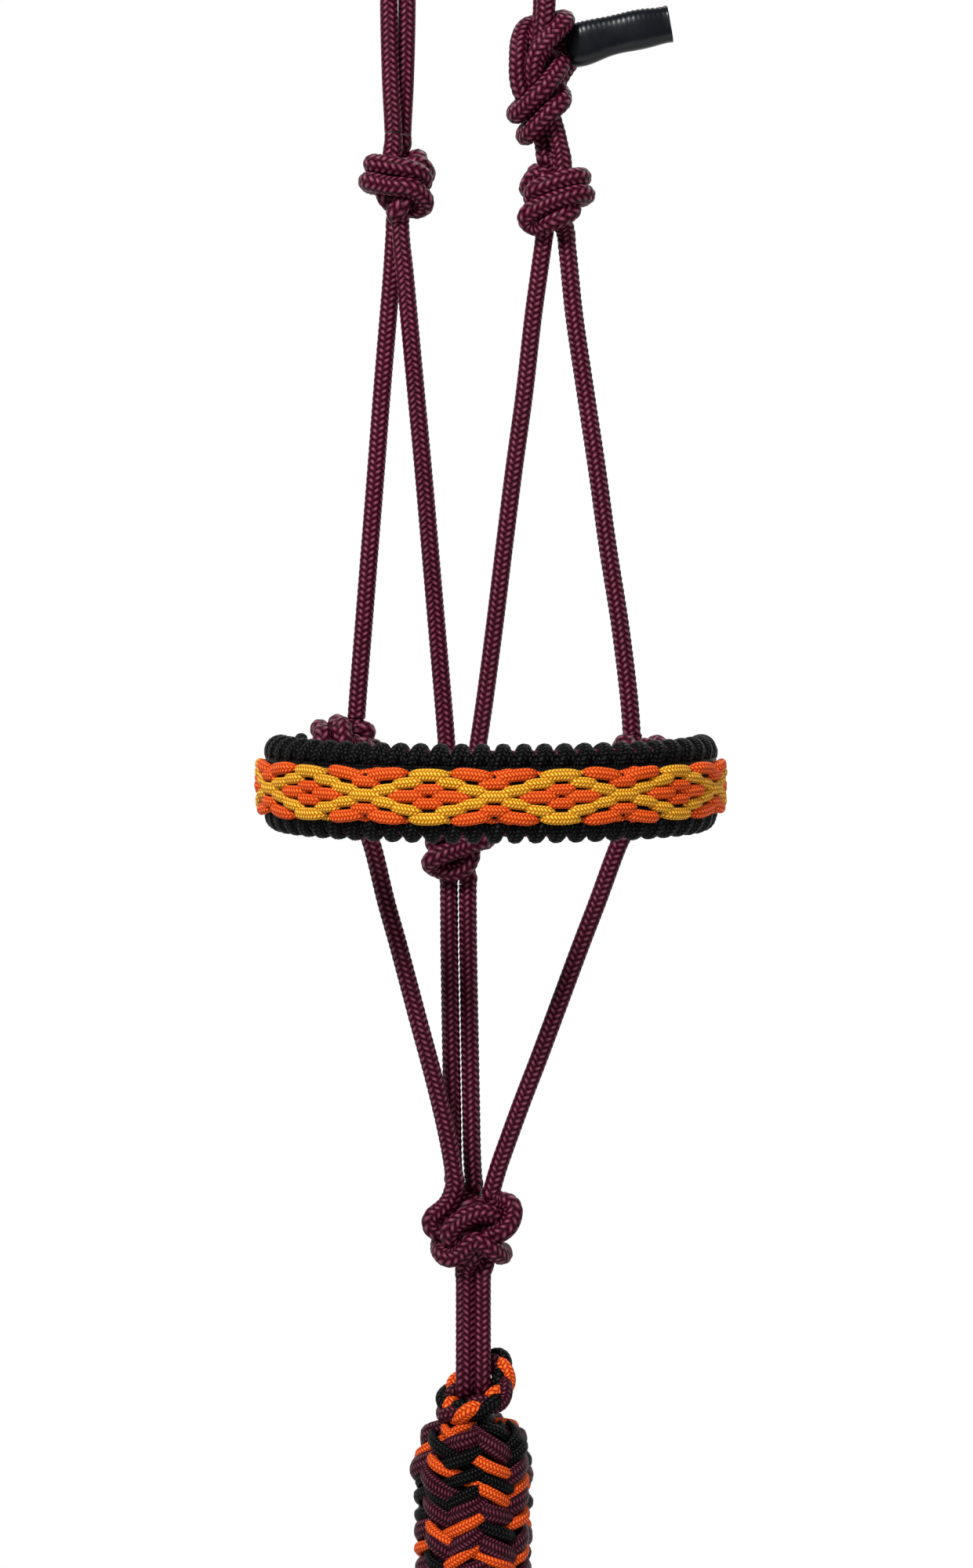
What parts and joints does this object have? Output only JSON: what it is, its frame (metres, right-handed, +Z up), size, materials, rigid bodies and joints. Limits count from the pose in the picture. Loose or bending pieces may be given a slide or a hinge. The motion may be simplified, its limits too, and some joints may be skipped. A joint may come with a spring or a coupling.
{
  "type": "rope halter",
  "caption": "Knotted rope halter with a woven two-rope noseband, a crown tie with a sleeved tail, and a braided lead that hangs from the loop under the chin.",
  "frame": {"origin": "top of the crown's arch, where the halter lies over the poll or a peg", "axes": "+Z up along the hanging halter, +X to the right of someone who faces the noseband's outside, -Y to the front, where the noseband bows out"},
  "size_m": [0.1609, 0.1277, 1.1045],
  "materials": {
    "maroon_braid": "glossy braided polyester rope",
    "black_cord": "satin braided cord, hitched",
    "orange_cord": "satin braided cord",
    "yellow_cord": "satin braided cord",
    "rubber_sleeve": "smooth shrunk sleeve",
    "lead_braid": "glossy braid of maroon, orange and black cords"
  },
  "bodies": {
    "halter": {"crown_strand_front": "maroon_braid", "crown_strand_back": "maroon_braid", "crown_tie_knot": "maroon_braid", "tie_loop_strand_back": "maroon_braid", "tie_loop_strand_front": "maroon_braid", "left_cheek_knot": "maroon_braid", "right_cheek_knot": "maroon_braid", "left_cheek_strap": "maroon_braid", "left_throat_strap": "maroon_braid", "right_throat_strap": "maroon_braid", "right_cheek_strap": "maroon_braid", "left_nose_knot": "maroon_braid", "right_nose_knot": "maroon_braid", "throat_knot": "maroon_braid", "throat_drop_left": "maroon_braid", "throat_drop_right": "maroon_braid", "left_chin_strap": "maroon_braid", "right_chin_strap": "maroon_braid", "chin_knot": "maroon_braid", "lead_loop_left": "maroon_braid", "lead_loop_right": "maroon_braid"},
    "noseband": {"noseband_rope_upper": "maroon_braid", "noseband_rope_lower": "maroon_braid", "noseband_edge_upper": "black_cord", "noseband_edge_lower": "black_cord", "orange_lacing_cord_1": "orange_cord", "orange_lacing_cord_2": "orange_cord", "orange_lacing_cord_3": "orange_cord", "orange_lacing_cord_4": "orange_cord", "yellow_lacing_cord_1": "yellow_cord", "yellow_lacing_cord_2": "yellow_cord"},
    "tail": {"tail_strand_upper": "maroon_braid", "tail_strand_lower": "maroon_braid", "tail_sleeve": "rubber_sleeve"},
    "lead": {"lead_eye": "lead_braid", "lead_cover_knot": "lead_braid"},
    "lead_rope": {"lead_rope_run": "lead_braid", "lead_rope_hank": "lead_braid", "hank_tie": "maroon_braid", "lead_end_knot": "lead_braid"}
  },
  "joints": [
    {"name": "noseband_hinge", "type": "hinge", "parent": "halter", "child": "noseband", "pos_m": [-0.046, -0.007, -0.4405], "axis": [0.9986, 0, -0.052], "range_deg": [-40, 40]},
    {"name": "tail_swing", "type": "hinge", "parent": "halter", "child": "tail", "pos_m": [0.032, 0.0015, -0.2005], "axis": [0, 1, 0], "range_deg": [-25, 25]},
    {"name": "lead_swing", "type": "hinge", "parent": "halter", "child": "lead", "pos_m": [0, 0, -0.6507], "axis": [1, 0, 0], "range_deg": [-70, 70]},
    {"name": "lead_rope_swing", "type": "hinge", "parent": "lead", "child": "lead_rope", "pos_m": [0, 0, -0.745], "axis": [0, 1, 0], "range_deg": [-45, 45]}
  ]
}
